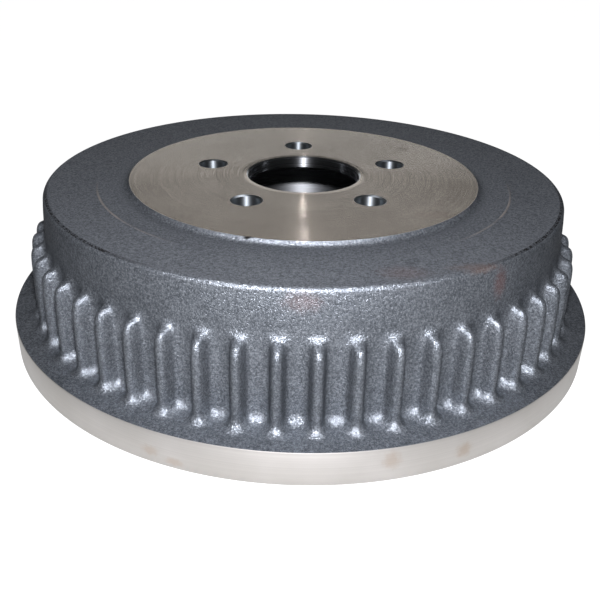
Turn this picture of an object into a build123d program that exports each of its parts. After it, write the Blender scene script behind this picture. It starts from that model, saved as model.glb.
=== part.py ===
from build123d import *

import os
from math import degrees, pi, radians, sin, tan

# Ribbed brake drum: one grey-iron casting with a flat mounting face, a deep shoe
# cavity and a ring of upright cooling ribs standing on a heavy open rim.
#
# Millimetres.  +Z runs up the axis, Z = 0 is the open rim, the mounting face is on
# top and one stud hole lies on +Y.

# Mounting face and holes
HEIGHT = 88.9            # open rim to mounting face
FACE_R = 102.0           # turned mounting face
FACE_RISE = 1.7          # height of the turned face above the cast top
BORE_R = 33.0            # centre pilot bore
BORE_CHAMFER = 1.0
BOLT_CIRCLE = 114.3      # pitch circle diameter of the wheel studs
STUDS = 5
STUD_HOLE_R = 8.2
STUD_CHAMFER = 0.8

# Cast top and the plain wall above the ribs
SHOULDER_R = 150.2
SHOULDER_Z = 86.3
SHOULDER_ROUND = 2.6
WALL_R = 150.55          # plain wall where the ribs begin

# Ribs and the flutes between them
RIBS = 54
RIB_TURN = -2 / 3        # degrees about +Z from a rib standing on -Y
FLUTE_R = 150.6          # floor of the flutes
FLUTE_WIDTH = 9.4        # between the two rib flanks, at the flute floor
CREST_R = 159.3          # crest of the ribs
CREST_WIDTH = 3.6        # between the two rib flanks, at the crest
CREST_ROUND = 1.7
ROOT_ROUND = 3.4
RIB_TOP_Z = 60.9         # top end of a rib at its crest
RIB_TOP_RISE = 1.0       # rise of the top end towards the wall
RIB_TOP_ROUND = 3.0
RIB_TOP_FILLET = 4.4
FOOT_STEPS = [(24.2, 0.0), (20.4, 1.5), (18.3, 5.2)]   # (z, spread) down the flared feet
FOOT_FAN = 0.65          # share of the spread that widens a foot at each side

# Heavy rim flange
RIM_R = 172.8
RIM_TOP_Z = 18.6         # top of the turned band
RIM_SLOPE = 0.8          # rise of the cast flange top towards the flutes
RIM_CHAMFER = 0.8

# Shoe cavity
FRICTION_R = 139.7       # 11 inch friction surface
FRICTION_TOP_Z = 70.5
RELIEF_R = 140.9         # tool relief above the friction surface
CAVITY_TOP_Z = 80.4      # cast underside of the web
CAVITY_ROUND = 7.0
MOUTH_CHAMFER = 2.5
SEAT_R = 84.0            # turned seat for the hub flange
SEAT_Z = 82.1

LAP = 0.15               # overlap that keeps blended surfaces from meeting edge-on


def eased(corners):
    """Closed outline from (x, y, round, flats) corners.

    A round is an arc tangent to both sides, laid out as a few flats so that the
    finished casting has few faces.  One flat is a plain chamfer.
    """
    corners = [tuple(c) + (0, 2)[len(c) - 2:] for c in corners]
    points = []
    for i, (x, y, rounding, flats) in enumerate(corners):
        corner = Vector(x, y)
        before = (Vector(*corners[i - 1][:2]) - corner).normalized()
        after = (Vector(*corners[(i + 1) % len(corners)][:2]) - corner).normalized()
        if not rounding:
            points.append(corner)
            continue
        half = radians(before.get_angle(after)) / 2
        centre = corner + (before + after).normalized() * (rounding / sin(half))
        start = corner + before * (rounding / tan(half)) - centre
        turn = degrees(pi - 2 * half) * (1 if before.cross(after).Z < 0 else -1)
        points += [centre + start.rotate(Axis.Z, turn * k / flats) for k in range(flats + 1)]
    return make_face(Polyline(*points, close=True))


def turned(*corners):
    """Solid turned about Z from (radius, z, round, flats) corners."""
    return revolve(Plane.XZ * eased(corners), Axis.Z)


def chamfered_hole(radius, bottom, top, chamfer):
    """Cutter for a through hole whose outer mouth is chamfered."""
    wide = radius + chamfer + 1
    return turned((0, bottom - 1), (radius, bottom - 1), (radius, top - chamfer),
                  (wide, top + 1), (0, top + 1))


def fluted_outline(z=0.0, spread=0.0):
    """Closed outline of the ribs and flutes all round the drum, grown outwards by a spread."""
    crest = CREST_WIDTH / 2 + FOOT_FAN * spread
    root = FLUTE_R * pi / RIBS - FLUTE_WIDTH / 2 + 0.4 * spread
    corners = []
    for i in range(RIBS):
        turn = Rot(0, 0, RIB_TURN + 360 / RIBS * i)
        for across, out, *rounding in (
                (root, FLUTE_R, ROOT_ROUND, 2), (crest, CREST_R, CREST_ROUND, 1),
                (-crest, CREST_R, CREST_ROUND, 1), (-root, FLUTE_R, ROOT_ROUND, 2)):
            at = (turn * Pos(across, out + spread, 0)).position
            corners.append((at.X, at.Y, *rounding))
    return Pos(0, 0, z) * eased(corners)


def ribbed_shell():
    """Outer body down to the ribs' feet: the fluted prism kept inside a turned envelope."""
    envelope = turned(
        (0, 0), (CREST_R + LAP, 0), (CREST_R + LAP, RIB_TOP_Z, RIB_TOP_ROUND),
        (WALL_R, RIB_TOP_Z + RIB_TOP_RISE, RIB_TOP_FILLET, 1),
        (SHOULDER_R, SHOULDER_Z, SHOULDER_ROUND, 3),
        (FACE_R + 1.3, HEIGHT - FACE_RISE), (FACE_R, HEIGHT, 0.6, 1), (0, HEIGHT))
    return extrude(fluted_outline(), HEIGHT) & envelope


def rim_flange():
    """Heavy rim with its turned band, blended up into the flute floors."""
    wall = FLUTE_R - LAP
    return turned((wall - 4, 0), (RIM_R, 0, RIM_CHAMFER, 1), (RIM_R, RIM_TOP_Z),
                  (wall, RIM_TOP_Z + RIM_SLOPE), (wall - 4, RIM_TOP_Z + RIM_SLOPE))


def rib_feet():
    """Ribs and flutes fanned out in two steps on their way down into the flange."""
    return loft([fluted_outline(*step) for step in FOOT_STEPS], ruled=True)


def shoe_cavity():
    """Cutter for the inside: chamfered mouth, friction surface, relief and hub seat."""
    mouth = FRICTION_R + MOUTH_CHAMFER
    return turned(
        (0, -1), (mouth + 1, -1), (FRICTION_R, MOUTH_CHAMFER),
        (FRICTION_R, FRICTION_TOP_Z), (RELIEF_R, FRICTION_TOP_Z + 1.2),
        (RELIEF_R, CAVITY_TOP_Z, CAVITY_ROUND, 2), (SEAT_R + 1.7, CAVITY_TOP_Z),
        (SEAT_R, SEAT_Z), (0, SEAT_Z))


def brake_drum():
    """The finished casting."""
    drum = ribbed_shell() + rim_flange() + rib_feet()
    drum -= shoe_cavity()
    drum -= chamfered_hole(BORE_R, SEAT_Z, HEIGHT, BORE_CHAMFER)
    stud = chamfered_hole(STUD_HOLE_R, SEAT_Z, HEIGHT, STUD_CHAMFER)
    drum -= [Rot(0, 0, 360 / STUDS * i) * Pos(0, BOLT_CIRCLE / 2, 0) * stud
             for i in range(STUDS)]
    return drum


os.makedirs("parts", exist_ok=True)
export_step(brake_drum(), "parts/brake_drum.step")
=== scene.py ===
import math

import bpy
import numpy as np
from mathutils import Matrix


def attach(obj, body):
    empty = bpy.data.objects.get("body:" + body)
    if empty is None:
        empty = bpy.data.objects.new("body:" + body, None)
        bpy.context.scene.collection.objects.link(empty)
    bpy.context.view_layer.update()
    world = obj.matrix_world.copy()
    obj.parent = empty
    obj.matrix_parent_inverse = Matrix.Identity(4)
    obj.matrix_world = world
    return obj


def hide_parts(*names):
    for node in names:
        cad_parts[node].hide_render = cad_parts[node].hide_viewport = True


# A ribbed brake drum, cast in one piece in grey iron.  The skin is as cast; the
# mounting face, the rim and the inside are turned.  All lengths below are in
# millimetres and go into the scene in metres.  Angles run round the axis from -Y
# towards +X, and z = 0 is the open rim.

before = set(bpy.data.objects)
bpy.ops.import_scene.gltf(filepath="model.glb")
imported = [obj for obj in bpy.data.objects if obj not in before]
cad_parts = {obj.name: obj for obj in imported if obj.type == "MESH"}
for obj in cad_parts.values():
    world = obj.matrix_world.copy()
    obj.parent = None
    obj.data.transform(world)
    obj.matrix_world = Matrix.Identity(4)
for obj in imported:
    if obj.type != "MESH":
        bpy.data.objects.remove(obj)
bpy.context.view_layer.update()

MM = 0.001

# Sizes of the casting
RIBS = 54
RIB_TURN = -2 / 3         # degrees from -Y to the nearest rib
RIB_LINE_R = 159.4        # distances across a rib are measured round this radius
STUDS = 5
FIRST_STUD = 180          # degrees, on +Y
BOLT_CIRCLE_R = 57.15
STUD_HOLE_R = 8.2
BORE_R = 33.0
FACE_R = 102.0
FACE_Z = 88.9
SEAT_Z = 82.1
CREST = 8.75              # height of a rib above the flute floor
WALL_TOP_R, WALL_TOP_Z = 149.62, 81.6     # foot of the shoulder, where the wall begins
RAISED_LINE_R = 119.9     # faint line round the cast top
CREASE_R = 147.4          # ragged crease at its outer edge
RIM_R = 172.8
RIM_TOP_Z = 18.6
FLANGE_EDGE_R = 169.8     # outer end of the flange's fine mesh
FLANGE_FALL = 0.13        # from the ribs' feet out to there
FRICTION_R = 139.7
RELIEF_R = 140.9          # tool relief above the friction surface
MOUTH_R = 142.2           # of the chamfer at the open end
WEB_Z = 80.4              # cast underside of the web

# Mesh density
PLAIN_COLUMNS = 360       # round every plain turned surface, one to a degree
HALF_WINDOW = 10          # columns from the middle of a stud hole to the side of its window
RIB_STEPS = (0, 0.8, 1.6, 2.2, 2.7, 3.1, 3.45, 3.8, 4.2, 4.8, 5.8, 7.3)   # from the middle of a rib
MERGE_PER_MM = 5e3        # points that round to the same 1/5000 mm are one point
SHARP_EDGE = 38           # degrees between two faces from which their edge is drawn sharp

# Finish of each face, in the order of the piece's material slots
CAST, FACE, BAND, BORED, HOLES = range(5)


# ---------------------------------------------------------------- shape helpers

def polar(radius, angle, z):
    """Points at a radius, an angle in degrees from -Y towards +X, and a height."""
    radius, angle, z = np.broadcast_arrays(radius, np.radians(angle), z)
    return np.stack([radius * np.sin(angle), -radius * np.cos(angle), z], axis=-1)


def arc(centre, radius, start, end, steps):
    """Profile points (r, z) on a circle: centre + radius * (cos, sin) from start to end degrees."""
    turn = np.radians(np.linspace(start, end, steps + 1))
    return np.stack([centre[0] + radius * np.cos(turn), centre[1] + radius * np.sin(turn)], axis=-1)


class Shell:
    """Collects rings of points into one closed skin; points that meet are merged at the end."""

    def __init__(self):
        self.points, self.faces, self.zones, self.count = [], [], [], 0

    def add(self, points, faces, zone):
        """Adds points (n, 3) and faces (m, 3 or 4) that index them."""
        self.points.append(points.reshape(-1, 3))
        self.faces.append(faces.reshape(-1, faces.shape[-1]) + self.count)
        self.zones.append(np.full(len(self.faces[-1]), zone))
        self.count += len(self.points[-1])

    def grid(self, points, zone):
        """Quads between neighbouring rings of an array (rings, columns, 3) that closes on itself."""
        rings, columns = points.shape[:2]
        here = np.arange(rings * columns).reshape(rings, columns)
        on = np.roll(here, -1, axis=1)
        self.add(points, np.stack([here[:-1], here[1:], on[1:], on[:-1]], axis=-1), zone)

    def zip(self, upper, lower, zone):
        """Triangles between two rings with different numbers of columns.

        Each edge of a ring takes the point of the other ring that lies nearest its middle,
        so that the two fans of triangles meet without a gap.
        """
        def turn(ring):
            return np.degrees(np.unwrap(np.arctan2(ring[:, 0], -ring[:, 1])))

        a, b = turn(upper), turn(lower)
        n, m = len(a), len(b)
        b_long = np.concatenate([b - 360, b, b + 360, b + 720])
        middle = (a + np.append(a[1:], a[0] + 360)) / 2
        right = np.clip(np.searchsorted(b_long, middle), 1, len(b_long) - 1)
        nearer = middle - b_long[right - 1] < b_long[right] - middle
        apex = right - nearer
        from_a = np.stack([np.arange(n), n + apex % m, (np.arange(n) + 1) % n], axis=-1)
        apex_long = np.concatenate([apex - m, apex, apex + m])
        low = np.arange(m, 2 * m)
        tip = np.searchsorted(apex_long, low, side="right") % n
        from_b = np.stack([n + low % m, n + (low + 1) % m, tip], axis=-1)
        self.add(np.concatenate([upper, lower]), np.concatenate([from_a, from_b]), zone)

    def build(self, name, materials):
        """Merges the points that meet, and makes the piece with one material slot to a zone."""
        points = np.concatenate(self.points)
        _, first, merged = np.unique(np.round(points * MERGE_PER_MM).astype(np.int64), axis=0,
                                     return_index=True, return_inverse=True)
        merged = merged.reshape(-1)
        faces = [row for f in self.faces for row in merged[f].tolist()]
        mesh = bpy.data.meshes.new(name)
        mesh.from_pydata((points[first] * MM).tolist(), [], faces)
        mesh.polygons.foreach_set("material_index", np.concatenate(self.zones).astype(np.int32))
        for material in materials:
            mesh.materials.append(material)
        mesh.shade_smooth()
        mesh.set_sharp_from_angle(angle=math.radians(SHARP_EDGE))
        piece = bpy.data.objects.new(name, mesh)
        bpy.context.scene.collection.objects.link(piece)
        return piece


# ------------------------------------------------------------------- the ribs

# Section of a rib: distance from its middle, and the share of its height left there.
# The crest is nearly flat, the flanks are steep, and the flute between is a shallow trough.
RIB_ACROSS = (0, 0.6, 1.2, 1.8, 2.3, 2.7, 3.0, 3.3, 3.6, 3.9, 4.3, 4.8, 5.5, 6.4, 7.4, 8.4, 9.3)
RIB_SHARE = (1, .995, .973, .92, .841, .736, .62, .483, .346, .241, .162, .114, .074, .04, .015, .003, 0)
# Its top end along the height: a rounded end, a flat top and a soft fillet into the wall
END_Z = (50.4, 53.4, 55.9, 57.4, 58.5, 59.4, 60.1, 60.7, 61.1, 61.45, 61.8, 62.2, 62.8, 63.6,
         64.7, 66.1, 67.4)
END_SHARE = (1, .99, .965, .93, .885, .83, .76, .66, .55, .44, .34, .25, .165, .09, .035, .006, 0)
ROUND_END = 2.6           # 2 would make the rib's end a half circle; more makes it squarer
FOOT_R = 5.5              # fillet between the ribbed wall and the flange
FLUTE_FOOT_R = 6.2        # the same at the bottom of a flute
FLANGE_Z = 18.75          # of the flange at the ribs' feet
# The wall leans in by its draft, from the flute floors up to the shoulder
WALL_Z = (21.5, 72.0, 79.5)
WALL_R = (151.55, 150.35, 149.82)


def ribbed_wall(angle, z):
    """Radius of the ribbed wall at an angle and a height.

    The wall leans in by its draft.  A rib adds CREST times a share read from its section
    at a distance (across ** n + along ** n) ** (1 / n) from its line, where n is ROUND_END
    and along is 0 below its top end and then grows so that the end has the shape above.
    """
    across = rib_offset(angle)
    along = np.interp(np.interp(z, END_Z, END_SHARE), RIB_SHARE[::-1], RIB_ACROSS[::-1])
    away = (across ** ROUND_END + along ** ROUND_END) ** (1 / ROUND_END)
    return np.interp(z, WALL_Z, WALL_R) + CREST * np.interp(away, RIB_ACROSS, RIB_SHARE)


# The raised line and the crease that the mould left, and half the width of either
LINE_RISE, CREASE_DEPTH, MARK_HALF = 0.42, 0.45, 0.9


def mould_marks(radius, angle):
    """Rise of the two marks that the mould left on the cast top.

    A raised line and a ragged crease are tents in radius, MARK_HALF to either side.  The share
    of them that shows grows from 22 to 55 degrees to either side and dies away again by 95.  Two
    sines of the angle make the crease ragged.
    """
    side = np.abs((angle + 180) % 360 - 180)
    share = np.interp(side, (22, 55, 78, 95), (0, 1, 1, 0))
    ragged = 0.65 + 0.25 * np.sin(np.radians(angle * 37)) + 0.2 * np.sin(np.radians(angle * 83 + 40))
    line = LINE_RISE * np.interp(np.abs(radius - RAISED_LINE_R), (0, MARK_HALF), (1, 0)) * share
    crease = CREASE_DEPTH * np.interp(np.abs(radius - CREASE_R), (0, MARK_HALF), (1, 0)) * share * ragged
    return line - crease


def rib_offset(angle):
    """Distance from the middle of the nearest rib, measured round the crests."""
    turn = (angle - RIB_TURN) / (360 / RIBS)
    return np.abs(turn - np.round(turn)) * np.radians(360 / RIBS) * RIB_LINE_R


def foot_rows(angle, steps):
    """Radii and heights of the fillet that carries the ribbed wall out to the flange.

    The outline is grown outwards by a disc, radius(angle) = max over v of
    (wall(angle - v) + sqrt(grow ** 2 - v ** 2)), while grow follows a quarter circle, so
    that the ribs fan out and the flutes end in round bowls.
    """
    turn = np.radians(np.linspace(0, 90, steps + 1))[:, None]
    grow, z = FOOT_R * (1 - np.cos(turn)), FLANGE_Z + FOOT_R * (1 - np.sin(turn))
    lean = np.sin(np.radians(np.linspace(-90, 90, 49)))      # 49 places across the disc
    v = grow[..., None] * lean
    reach = ribbed_wall(angle[None, :, None] - np.degrees(v / RIB_LINE_R), z[..., None])
    radius = (reach + np.sqrt(np.maximum(grow[..., None] ** 2 - v ** 2, 0))).max(axis=-1)
    down = np.clip((FLANGE_Z + FLUTE_FOOT_R - z) / FLUTE_FOOT_R, 0, 1)
    extra = FLUTE_FOOT_R * (1 - np.sqrt(1 - down ** 2)) - grow
    floor = 1 - np.interp(rib_offset(angle), RIB_ACROSS, RIB_SHARE)
    return radius + floor * np.maximum(extra, 0), z


def rib_columns():
    """Angles of the mesh columns: closer together over the flanks than over the flute floors."""
    steps = np.array(RIB_STEPS)
    pitch = 360 / RIBS
    one = np.concatenate([-steps[:0:-1], steps, [np.radians(pitch) * RIB_LINE_R / 2]])
    one = np.degrees(one / RIB_LINE_R)
    return (RIB_TURN + pitch * np.arange(RIBS)[:, None] + one).reshape(-1)


# ------------------------------------------------------------- the whole casting

def stud_windows(radii):
    """Outlines of the windows round the stud holes, as (studs, points, 3) without a height.

    A window is a block of cells of the plain polar grid, HALF_WINDOW columns to either
    side of a hole; its outline runs anticlockwise seen from above.
    """
    side = np.arange(-HALF_WINDOW, HALF_WINDOW + 1)
    low, high = radii[0], radii[-1]
    outline = np.concatenate([
        np.stack([radii[:-1], np.full(len(radii) - 1, -HALF_WINDOW)], axis=-1),
        np.stack([np.full(2 * HALF_WINDOW, high), side[:-1]], axis=-1),
        np.stack([radii[:0:-1], np.full(len(radii) - 1, HALF_WINDOW)], axis=-1),
        np.stack([np.full(2 * HALF_WINDOW, low), side[:0:-1]], axis=-1)])
    centres = FIRST_STUD + 360 / STUDS * np.arange(STUDS)
    return centres, polar(outline[None, :, 0], centres[:, None] + outline[None, :, 1], 0.0)


def plate(shell, radii, z, window):
    """Flat turned plate between the first and last radius, open at the stud windows."""
    angles = np.arange(PLAIN_COLUMNS) * 360 / PLAIN_COLUMNS
    points = polar(radii[:, None], angles[None], z)
    here = np.arange(points.shape[0] * PLAIN_COLUMNS).reshape(len(radii), PLAIN_COLUMNS)
    on = np.roll(here, -1, axis=1)
    quads = np.stack([here[:-1], here[1:], on[1:], on[:-1]], axis=-1)
    middle = (radii[:-1] + radii[1:]) / 2
    rows = (middle > window[0]) & (middle < window[-1])
    turned = (np.arange(PLAIN_COLUMNS) + 0.5 + HALF_WINDOW - FIRST_STUD) % (360 / STUDS)
    closed = ~(rows[:, None] & (turned < 2 * HALF_WINDOW)[None])
    shell.add(points, quads[closed], FACE)


def stud_holes(shell, window):
    """Sleeves from each window's outline in to the hole, down its wall and out below.

    A ring is a share of the way from the window's outline to a circle of the radius.
    """
    centres, outline = stud_windows(window)
    middle = polar(BOLT_CIRCLE_R, centres, 0.0)[:, None]
    away = outline - middle
    away /= np.linalg.norm(away, axis=-1, keepdims=True)
    rings = []
    for share, radius, z in ((0, 9.0, FACE_Z), (0.4, 9.0, FACE_Z), (0.75, 9.0, FACE_Z),
                             (1, 8.95, FACE_Z), (1, 8.6, FACE_Z - 0.35), (1, STUD_HOLE_R, FACE_Z - 0.8),
                             (1, STUD_HOLE_R, FACE_Z - 3.5), (1, STUD_HOLE_R, SEAT_Z + 0.2),
                             (1, STUD_HOLE_R + 0.2, SEAT_Z), (0.6, 8.6, SEAT_Z), (0, 8.6, SEAT_Z)):
        edge = middle + away * radius
        ring = outline * (1 - share) + edge * share
        ring[..., 2] = z
        rings.append(ring)
    rings = np.stack(rings)[:, :, ::-1]
    # The first rings lie on the face, the middle ones line the hole, the last lie on the seat
    for k in range(STUDS):
        shell.grid(rings[:4, k], FACE)
        shell.grid(rings[3:9, k], HOLES)
        shell.grid(rings[8:, k], FACE)


def casting(materials):
    """The drum, built ring by ring: face, cast top, shoulder, ribs, rim, cavity, seat, bore."""
    shell = Shell()
    angles = np.arange(PLAIN_COLUMNS) * 360 / PLAIN_COLUMNS

    def lathe(profile, zone):
        profile = np.array(profile, float)
        shell.grid(polar(profile[:, :1], angles[None], profile[:, 1:]), zone)

    # Radii of the cells in the window round a stud hole
    window = np.linspace(47.0, 67.3, 11)

    # Turned mounting face
    mouth, edge = (BORE_R + 0.9, 88.84), (BORE_R + 1.1, FACE_Z)
    lathe([mouth, edge], FACE)
    plate(shell, np.concatenate([[edge[0], 38], window, [75, 88, 101.2, FACE_R]]), FACE_Z, window)

    # Cast step round the face, cast top and shoulder, as (radius, height)
    top = np.array([(FACE_R, FACE_Z), (102.2, 88.68), (102.53, 88.25), (102.9, 87.7),
                    (103.38, 87.16), (104.0, 86.74), (104.8, 86.5), (105.7, 86.4),
                    (107.0, 86.42), (112, 86.6),
                    (118.9, 86.8), (119.4, 86.81), (119.9, 86.82), (120.4, 86.83), (120.9, 86.84),
                    (130, 86.98), (140, 87.15), (145.6, 87.36), (146.1, 87.42)]
                   + arc((146.65, 84.88), 2.6, 88, 4, 9).tolist()
                   + [(149.4, 83.6), (WALL_TOP_R, WALL_TOP_Z)])
    marked = top[:, 1:] + mould_marks(top[:, :1], angles[None])
    shell.grid(polar(top[:, :1], angles[None], marked), CAST)

    # Ribs: a fine mesh, stitched to the plain columns above and below
    fine = rib_columns()
    heights = np.concatenate([[79.5, 72, 68, 66.6, 65.4], np.linspace(64.7, 58.1, 15),
                              [57, 55.8, 54.2, 52.4, 50, 40, 31, 27, FLANGE_Z + FOOT_R + 0.5]])
    wall = polar(ribbed_wall(fine[None], heights[:, None]), fine[None], heights[:, None])
    shell.zip(polar(WALL_TOP_R, angles, WALL_TOP_Z), wall[0], CAST)
    radius, height = foot_rows(fine, 12)
    foot = polar(radius, fine[None], height)
    out = np.array([0.35, 1])[:, None]
    flange = polar(radius[-1] + (FLANGE_EDGE_R - radius[-1]) * out, fine[None],
                   FLANGE_Z - FLANGE_FALL * out)
    shell.grid(np.concatenate([wall, foot, flange]), CAST)
    shell.zip(flange[-1], polar(171.6, angles, RIM_TOP_Z), CAST)
    lathe([(171.6, RIM_TOP_Z), (172.5, 18.58)], CAST)

    # Turned band and rim face
    lathe([(172.5, 18.58), (172.72, 18.5), (RIM_R, 18.3), (RIM_R, 9), (RIM_R, 0.9),
           (172.5, 0.3), (172.0, 0), (157, 0), (MOUTH_R, 0)], BAND)

    # Shoe cavity: bored friction surface, relief, cast web and turned hub seat
    lathe([(MOUTH_R, 0), (FRICTION_R, 2.5), (FRICTION_R, 36), (FRICTION_R, 70.5),
           (RELIEF_R, 71.7), (RELIEF_R, 73.4)], BORED)
    lathe(arc((133.9, 73.4), 7.0, 0, 90, 6).tolist() + [(110, WEB_Z), (85.7, WEB_Z)], CAST)
    lathe([(85.7, WEB_Z), (85.2, 80.9), (84.0, SEAT_Z)], BORED)
    plate(shell, np.concatenate([[84, 75], window[::-1], [38, BORE_R]]), SEAT_Z, window)
    lathe([(BORE_R, SEAT_Z), (BORE_R, 85), (BORE_R, 88.0), mouth], BORED)
    stud_holes(shell, window)
    return shell.build("drum_casting", materials)


# ----------------------------------------------------------------- the finishes

def linear(code):
    """An sRGB hex colour as linear red, green, blue, alpha."""
    parts = [int(code[i:i + 2], 16) / 255 for i in (0, 2, 4)]
    return tuple(p / 12.92 if p <= 0.04045 else ((p + 0.055) / 1.055) ** 2.4 for p in parts) + (1.0,)


def node(tree, kind, inputs=None, out=0, **settings):
    """Adds a node with its settings, gives its inputs values or links, and returns one output."""
    made = tree.nodes.new("ShaderNode" + kind)
    for name, value in settings.items():
        setattr(made, name, value)
    for name, value in (inputs or {}).items():
        if isinstance(value, bpy.types.NodeSocket):
            tree.links.new(value, made.inputs[name])
        else:
            made.inputs[name].default_value = value
    return made.outputs[out]


def finish(name):
    """A new material, its node tree and its Principled shader."""
    material = bpy.data.materials.new(name)
    material.use_nodes = True
    return material, material.node_tree, material.node_tree.nodes["Principled BSDF"]


# Stains, and the painted shade of a nick: centre in mm, size in mm, strength, colour
# Painted shade: near black for the shade in a nick, which has no shape of its own
NICK_SHADE = "121110"
CAST_STAINS_AND_SHADE = (
    # rust blooms on the wall, the shoulder and the top
    ((-8.9, -150.1, 81.2), (13, 9, 7), 0.10, "b07a6a"),
    ((84.7, -124.3, 77.4), (6, 6, 11), 0.32, "8c5a50"),
    ((75, -128.5, 86.8), (23, 7, 3), 0.22, "9a6a48"),
    ((36.9, -133.4, 87.3), (16, 10, 3), 0.14, "96604e"),
    # painted shade: a near-black patch for the shade in a nick in the edge of the face, where it runs
    # into the casting
    ((-33.1, -96.9, 88.7), (3.6, 1.2, 1.6), 1.0, NICK_SHADE))
FACE_STAINS_AND_SHADE = (
    # old grease by a stud hole, faint rust, a pale speck, and the painted shade of the nick in the edge
    ((68, 50.8, 88.9), (7, 5, 4), 0.35, "6b5848"),
    ((65.1, -67.8, 88.9), (16, 8, 4), 0.14, "8a6244"),
    ((-40.5, -63.8, 88.9), (1.3, 1.3, 1.3), 0.8, "e8e4da"),
    ((-33.1, -96.6, 88.8), (3.6, 1.2, 1.6), 1.0, NICK_SHADE))
BAND_STAINS = (
    # finger marks that have begun to rust
    ((31.5, -169.9, 12), (6, 4, 7), 0.30, "a98a6c"),
    ((67.3, -159.2, 8.2), (6, 6, 6), 0.35, "a4835f"),
    ((-78.5, -154, 6.8), (7, 5, 4), 0.30, "b0947a"),
    ((-66.7, -159.4, 4.1), (7, 5, 3), 0.30, "b0947a"))


def stained_and_shaded(tree, place, colour, stains_and_shade):
    """Colour with each stain and each patch of painted shade laid over it.

    A stain is an ellipsoid round a point of the surface; noise of 2.4 mm breaks up its edge.
    """
    ragged = node(tree, "TexNoise", {"Vector": place, "Scale": 1000 / 2.4, "Detail": 3.0,
                                     "Roughness": 0.65})
    ragged = node(tree, "Math", {0: ragged, 1: 0.9, 2: -0.45}, operation="MULTIPLY_ADD")
    for centre, size, strength, code in stains_and_shade:
        off = node(tree, "VectorMath", {0: place, 1: [c * MM for c in centre]}, operation="SUBTRACT")
        off = node(tree, "VectorMath", {0: off, 1: [1 / (s * MM) for s in size]}, operation="MULTIPLY")
        away = node(tree, "VectorMath", {0: off}, out="Value", operation="LENGTH")
        away = node(tree, "Math", {0: away, 1: ragged}, operation="ADD")
        share = node(tree, "MapRange", {0: away, 1: 1.0, 2: 0.2, 3: 0.0, 4: strength},
                     interpolation_type="SMOOTHSTEP")
        colour = node(tree, "Mix", {0: share, 6: colour, 7: linear(code)}, out=2, data_type="RGBA")
    return colour


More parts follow.
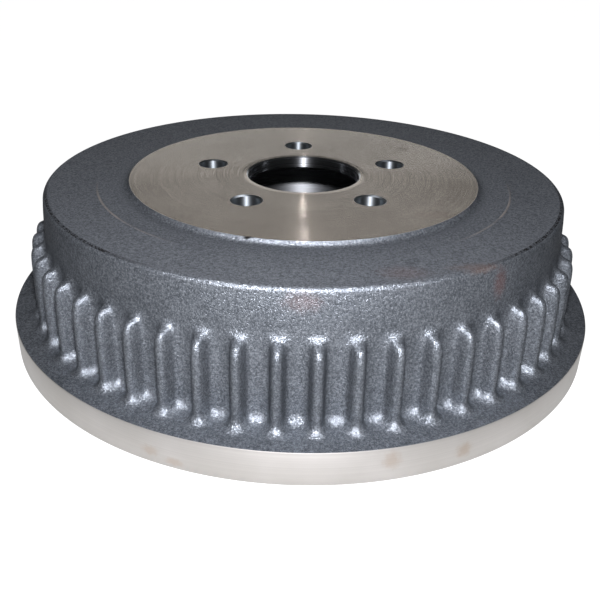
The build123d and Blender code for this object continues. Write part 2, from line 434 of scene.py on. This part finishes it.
def cast_iron():
    """Grey iron as it left the sand mould, shot-blasted.

    The eye sees a slate grey metal with a broad soft sheen, which the grain of the sand
    breaks up into sparkle, and a few faint rust blooms.
    """
    material, tree, shader = finish("as_cast_grey_iron")
    place = node(tree, "TexCoord", out="Object")
    # Sand grain is about 0.3 mm; drawn at 0.45 and 1.2 mm so that it shows
    grain = node(tree, "TexNoise", {"Vector": place, "Scale": 1000 / 0.45, "Detail": 1.0,
                                    "Roughness": 0.5})
    pits = node(tree, "TexNoise", {"Vector": place, "Scale": 1000 / 1.2, "Detail": 1.0,
                                   "Roughness": 0.5})
    broad = node(tree, "TexNoise", {"Vector": place, "Scale": 1000 / 17, "Detail": 3.0,
                                    "Roughness": 0.55})
    share = node(tree, "MapRange", {0: broad, 1: 0.3, 2: 0.7}, interpolation_type="SMOOTHSTEP")
    colour = node(tree, "Mix", {0: share, 6: linear("6c7177"), 7: linear("767b81")}, out=2,
                  data_type="RGBA")

    # Painted light: the cast top is painted a little paler than the walls, to stand in for the light that
    # falls on it
    outward = node(tree, "VectorMath", {0: place, 1: (1, 1, 0)}, operation="MULTIPLY")
    radius = node(tree, "VectorMath", {0: outward}, out="Value", operation="LENGTH")
    inner = node(tree, "MapRange", {0: radius, 1: 0.104, 2: 0.108})
    outer = node(tree, "MapRange", {0: radius, 1: 0.1480, 2: 0.1465})
    painted_top_light = node(tree, "Math", {0: inner, 1: outer}, operation="MULTIPLY")
    colour = node(tree, "Mix", {0: painted_top_light, 6: colour, 7: linear("868b92")}, out=2, data_type="RGBA")

    # Dark scale stays in the pits, and the blasted tips of the grain are bright
    height = node(tree, "Math", {0: pits, 1: 0.7, 2: grain}, operation="MULTIPLY_ADD")
    for start, full, most, code in ((0.92, 0.66, 0.66, "34383c"), (0.90, 1.10, 0.32, "b4b9be")):
        share = node(tree, "MapRange", {0: height, 1: start, 2: full, 3: 0.0, 4: most})
        colour = node(tree, "Mix", {0: share, 6: colour, 7: linear(code)}, out=2, data_type="RGBA")
    colour = stained_and_shaded(tree, place, colour, CAST_STAINS_AND_SHADE)

    # To either side of the drum the raised line is painted paler and the crease darker
    x, y, z = (node(tree, "SeparateXYZ", {0: place}, out=axis) for axis in "XYZ")
    beside = node(tree, "MapRange", {0: node(tree, "Math", {0: x}, operation="ABSOLUTE"),
                                     1: 0.066, 2: 0.100})
    front = node(tree, "MapRange", {0: y, 1: -0.010, 2: -0.040})
    side = node(tree, "Math", {0: beside, 1: front}, operation="MULTIPLY")
    on_line = node(tree, "Math", {0: radius, 1: RAISED_LINE_R * MM, 2: 0.0006}, operation="COMPARE")
    on_crease = node(tree, "Math", {0: radius, 1: CREASE_R * MM, 2: 0.0008}, operation="COMPARE")
    high = node(tree, "Math", {0: z, 1: 0.0855}, operation="GREATER_THAN")
    patchy = node(tree, "MapRange", {0: broad, 1: 0.25, 2: 0.5, 4: 0.7})
    broken = node(tree, "MapRange", {0: pits, 1: 0.42, 2: 0.58, 4: 0.9})
    for parts, code in (((on_line, patchy), "b9b0aa"), ((on_crease, high, broken), "1e1a18")):
        share = side
        for part in parts:
            share = node(tree, "Math", {0: share, 1: part}, operation="MULTIPLY")
        colour = node(tree, "Mix", {0: share, 6: colour, 7: linear(code)}, out=2, data_type="RGBA")
    tree.links.new(colour, shader.inputs["Base Color"])

    shader.inputs["Metallic"].default_value = 0.74
    # The oxide skin keeps the metal from turning into a mirror at a low angle
    shader.inputs["Specular Tint"].default_value = (0.22, 0.22, 0.23, 1.0)
    rough = node(tree, "MapRange", {0: pits, 1: 0.3, 2: 0.7, 3: 0.42, 4: 0.35})
    tree.links.new(rough, shader.inputs["Roughness"])
    bump = node(tree, "Bump", {"Strength": 1.0, "Distance": 0.00028, "Height": height})
    tree.links.new(bump, shader.inputs["Normal"])
    return material


FEED_MM = 0.12            # the tool moves on by this much in a turn of the lathe


def turned_iron(name, light, dark, roughness, anisotropic, metallic, ring_mm, steep,
                on_face=False, stains_and_shade=()):
    """Grey iron turned on a lathe.

    The tool leaves fine rings about the axis, so the eye sees a warm pale metal with a
    highlight drawn out across the rings.  steep is the slope of the deepest of them.
    on_face is True where the rings lie on a flat face, and False where they are stacked
    up a wall.
    """
    material, tree, shader = finish(name)
    place = node(tree, "TexCoord", out="Object")
    if on_face:
        outward = node(tree, "VectorMath", {0: place, 1: (1, 1, 0)}, operation="MULTIPLY")
        across = node(tree, "VectorMath", {0: outward}, out="Value", operation="LENGTH")
        outward = node(tree, "VectorMath", {0: outward}, operation="NORMALIZE")
    else:
        outward = (0.0, 0.0, 1.0)
        across = node(tree, "SeparateXYZ", {0: place}, out="Z")
    # Tone changes with every few feed marks; it is drawn coarser, at ring_mm, so that it shows
    rings = node(tree, "TexNoise", {"W": across, "Scale": 1000 / ring_mm, "Detail": 3.0,
                                    "Roughness": 0.7}, noise_dimensions="1D")
    broad = node(tree, "TexNoise", {"Vector": place, "Scale": 1000 / 38, "Detail": 3.0,
                                    "Roughness": 0.5})
    share = node(tree, "MapRange", {0: broad, 1: 0.3, 2: 0.7}, interpolation_type="SMOOTHSTEP")
    colour = node(tree, "Mix", {0: share, 6: linear(dark), 7: linear(light)}, out=2,
                  data_type="RGBA")
    share = node(tree, "MapRange", {0: rings, 1: 0.35, 2: 0.65, 3: 0.0, 4: 0.10})
    colour = node(tree, "Mix", {0: share, 6: colour, 7: linear("6f6b66")}, out=2, data_type="RGBA")
    tree.links.new(stained_and_shaded(tree, place, colour, stains_and_shade), shader.inputs["Base Color"])

    shader.inputs["Metallic"].default_value = metallic
    # The glint spreads across the rings, so the wide direction is a quarter turn from them
    shader.inputs["Anisotropic"].default_value = anisotropic
    shader.inputs["Anisotropic Rotation"].default_value = 0.25
    tree.links.new(node(tree, "Tangent", direction_type="RADIAL", axis="Z"), shader.inputs["Tangent"])
    rough = node(tree, "MapRange", {0: rings, 1: 0.3, 2: 0.7, 3: roughness + 0.03,
                                    4: roughness - 0.03})
    tree.links.new(rough, shader.inputs["Roughness"])

    # The feed marks tilt the metal across the rings: mostly a little, here and there steeply
    marks = node(tree, "TexNoise", {"W": across, "Scale": 1000 / FEED_MM, "Detail": 2.0,
                                    "Roughness": 0.9}, noise_dimensions="1D")
    tilt = node(tree, "MapRange", {0: marks, 1: 0.255, 2: 0.745, 3: -1.0, 4: 1.0}, clamp=True)
    size = node(tree, "Math", {0: tilt}, operation="ABSOLUTE")
    size = node(tree, "Math", {0: size, 1: 2.0}, operation="POWER")
    for factor in (size, steep):
        tilt = node(tree, "Math", {0: tilt, 1: factor}, operation="MULTIPLY")
    tilted = node(tree, "VectorMath", {0: outward, 3: tilt}, operation="SCALE")
    normal = node(tree, "NewGeometry", out="Normal")
    tilted = node(tree, "VectorMath", {0: normal, 1: tilted}, operation="ADD")
    tilted = node(tree, "VectorMath", {0: tilted}, operation="NORMALIZE")
    tree.links.new(tilted, shader.inputs["Normal"])
    return material


face_iron = turned_iron("turned_grey_iron_face", light="cbc1b4", dark="beb4a7", roughness=0.20,
                        anisotropic=0.9, metallic=0.90, ring_mm=0.9, steep=2.0, on_face=True,
                        stains_and_shade=FACE_STAINS_AND_SHADE)
rim_iron = turned_iron("turned_grey_iron_rim", light="d2cfcb", dark="c8c5c0", roughness=0.45,
                       anisotropic=0.4, metallic=0.92, ring_mm=1.3, steep=0.1, stains_and_shade=BAND_STAINS)
bored_iron = turned_iron("bored_grey_iron", light="a6a9ac", dark="9b9ea2", roughness=0.25,
                         anisotropic=0.95, metallic=1.0, ring_mm=1.0, steep=0.1)
drilled_iron = turned_iron("drilled_grey_iron", light="8d9397", dark="82888c", roughness=0.48,
                           anisotropic=0.8, metallic=1.0, ring_mm=0.8, steep=0.1)

drum = casting([cast_iron(), face_iron, rim_iron, bored_iron, drilled_iron])
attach(drum, "root")
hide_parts("brake_drum")


# ------------------------------------------------------------ floor, light, camera

# Glow of the floor: as the camera sees it, and in gloss by the rim and further out
FLOOR_SEEN, FLOOR_NEAR, FLOOR_FAR = 0.98, 0.52, 0.12
FLOOR_HALF = 6.0          # metres from its middle to a side
FLOOR_Z = -0.0001         # just below the rim, so that the two don't share a plane
# The room: in gloss, and as plain light on all things
BACK_WALL, SIDE_WALLS, CEILING, PLAIN_LIGHT = 1.0, 0.20, 0.04, 0.13


def rays(tree):
    """1 for rays from the camera or through glass, and 1 for rays off gloss."""
    camera = node(tree, "LightPath", out="Is Camera Ray")
    through = node(tree, "LightPath", out="Is Transmission Ray")
    return (node(tree, "Math", {0: camera, 1: through}, operation="MAXIMUM"),
            node(tree, "LightPath", out="Is Glossy Ray"))


def white_floor():
    """A sheet of white paper, lit a little from within so that it runs out to white."""
    mesh = bpy.data.meshes.new("floor")
    corners = [(x * FLOOR_HALF, y * FLOOR_HALF, FLOOR_Z) for x, y in ((-1, -1), (1, -1), (1, 1), (-1, 1))]
    mesh.from_pydata(corners, [], [(0, 1, 2, 3)])
    floor = bpy.data.objects.new("floor", mesh)
    bpy.context.scene.collection.objects.link(floor)
    material, tree, shader = finish("white_paper_floor")
    shader.inputs["Base Color"].default_value = linear("707070")
    shader.inputs["Roughness"].default_value = 1.0
    shader.inputs["Specular IOR Level"].default_value = 0.0
    seen, gloss = rays(tree)
    away = node(tree, "TexCoord", out="Object")
    away = node(tree, "VectorMath", {0: away}, out="Value", operation="LENGTH")
    near = node(tree, "MapRange", {0: away, 1: 0.20, 2: 0.26, 3: FLOOR_NEAR, 4: FLOOR_FAR})
    glow = node(tree, "Math", {0: seen, 1: FLOOR_SEEN}, operation="MULTIPLY")
    glow = node(tree, "Math", {0: gloss, 1: near, 2: glow}, operation="MULTIPLY_ADD")
    # No glow under the drum, so that its inside stays dark
    outside = node(tree, "MapRange", {0: away, 1: 0.166, 2: 0.172}, interpolation_type="SMOOTHSTEP")
    glow = node(tree, "Math", {0: glow, 1: outside}, operation="MULTIPLY")
    glow = node(tree, "Emission", {"Strength": glow})
    both = node(tree, "AddShader", {0: shader.outputs[0], 1: glow})
    tree.links.new(both, tree.nodes["Material Output"].inputs["Surface"])
    mesh.materials.append(material)


white_floor()

world = bpy.data.worlds.new("studio")
bpy.context.scene.world = world
world.use_nodes = True
sky = world.node_tree
seen, gloss = rays(sky)
towards = node(sky, "TexCoord", out="Generated")
backward, upward = (node(sky, "SeparateXYZ", {0: towards}, out=axis) for axis in "YZ")
walls = node(sky, "MapRange", {0: backward, 1: 0.85, 2: 0.97, 3: SIDE_WALLS, 4: BACK_WALL},
             interpolation_type="SMOOTHSTEP")
room = node(sky, "MapRange", {0: upward, 1: 0.19, 2: 0.35, 3: walls, 4: CEILING},
            interpolation_type="SMOOTHSTEP")
level = node(sky, "Mix", {0: gloss, 2: PLAIN_LIGHT, 3: room})
level = node(sky, "Math", {0: level, 1: seen}, operation="MAXIMUM")
sky.links.new(level, sky.nodes["Background"].inputs["Strength"])
sky.nodes["Background"].inputs["Color"].default_value = (1, 1, 1, 1)

# Camera: 494 mm from the middle of the rim's plane, 27.7 degrees above it
CAMERA_TURN, RISE, ROLL = math.radians(-3.39), 0.483, 0.0226
CAMERA_BACK, CAMERA_LEFT, CAMERA_UP = 494.04, 3.66, 3.65      # mm
FRAME, SENSOR = 600, 36                                 # pixels, and mm
FOCAL, CENTRE_X, CENTRE_Y = 760.26, 294.61, 299.03      # in pixels of the frame
back = np.array([0, -math.cos(RISE), math.sin(RISE)])
right = np.array([1.0, 0, 0])
up = np.array([0, math.sin(RISE), math.cos(RISE)])
eye = (back * CAMERA_BACK - right * CAMERA_LEFT + up * CAMERA_UP) * MM
axes = (math.cos(ROLL) * right + math.sin(ROLL) * up,
        math.cos(ROLL) * up - math.sin(ROLL) * right, back)
stand = Matrix.Identity(4)
for column, vector in enumerate(axes + (eye,)):
    for row in range(3):
        stand[row][column] = vector[row]
camera = bpy.data.cameras.new("camera")
camera.sensor_width = SENSOR
camera.lens = FOCAL / FRAME * SENSOR
camera.shift_x = (FRAME / 2 - CENTRE_X) / FRAME
camera.shift_y = (CENTRE_Y - FRAME / 2) / FRAME
camera.clip_start, camera.clip_end = 0.01, 50
viewer = bpy.data.objects.new("camera", camera)
bpy.context.scene.collection.objects.link(viewer)
viewer.matrix_world = Matrix.Rotation(CAMERA_TURN, 4, "Z") @ stand
bpy.context.scene.camera = viewer

# The flash of the camera, a small tube 55 mm above the lens and 5 mm to its right
FLASH_WIDE, FLASH_HIGH, FLASH_WATTS = 0.032, 0.012, 4.6
FLASH_PLACE = (0.005, 0.055, 0)
flash = bpy.data.lights.new("flash", "AREA")
flash.shape, flash.size, flash.size_y = "RECTANGLE", FLASH_WIDE, FLASH_HIGH
flash.energy, flash.color = FLASH_WATTS, linear("fbfaff")[:3]
tube = bpy.data.objects.new("flash", flash)
bpy.context.scene.collection.objects.link(tube)
tube.matrix_world = viewer.matrix_world @ Matrix.Translation(FLASH_PLACE)

bpy.context.scene.view_settings.view_transform = "Standard"
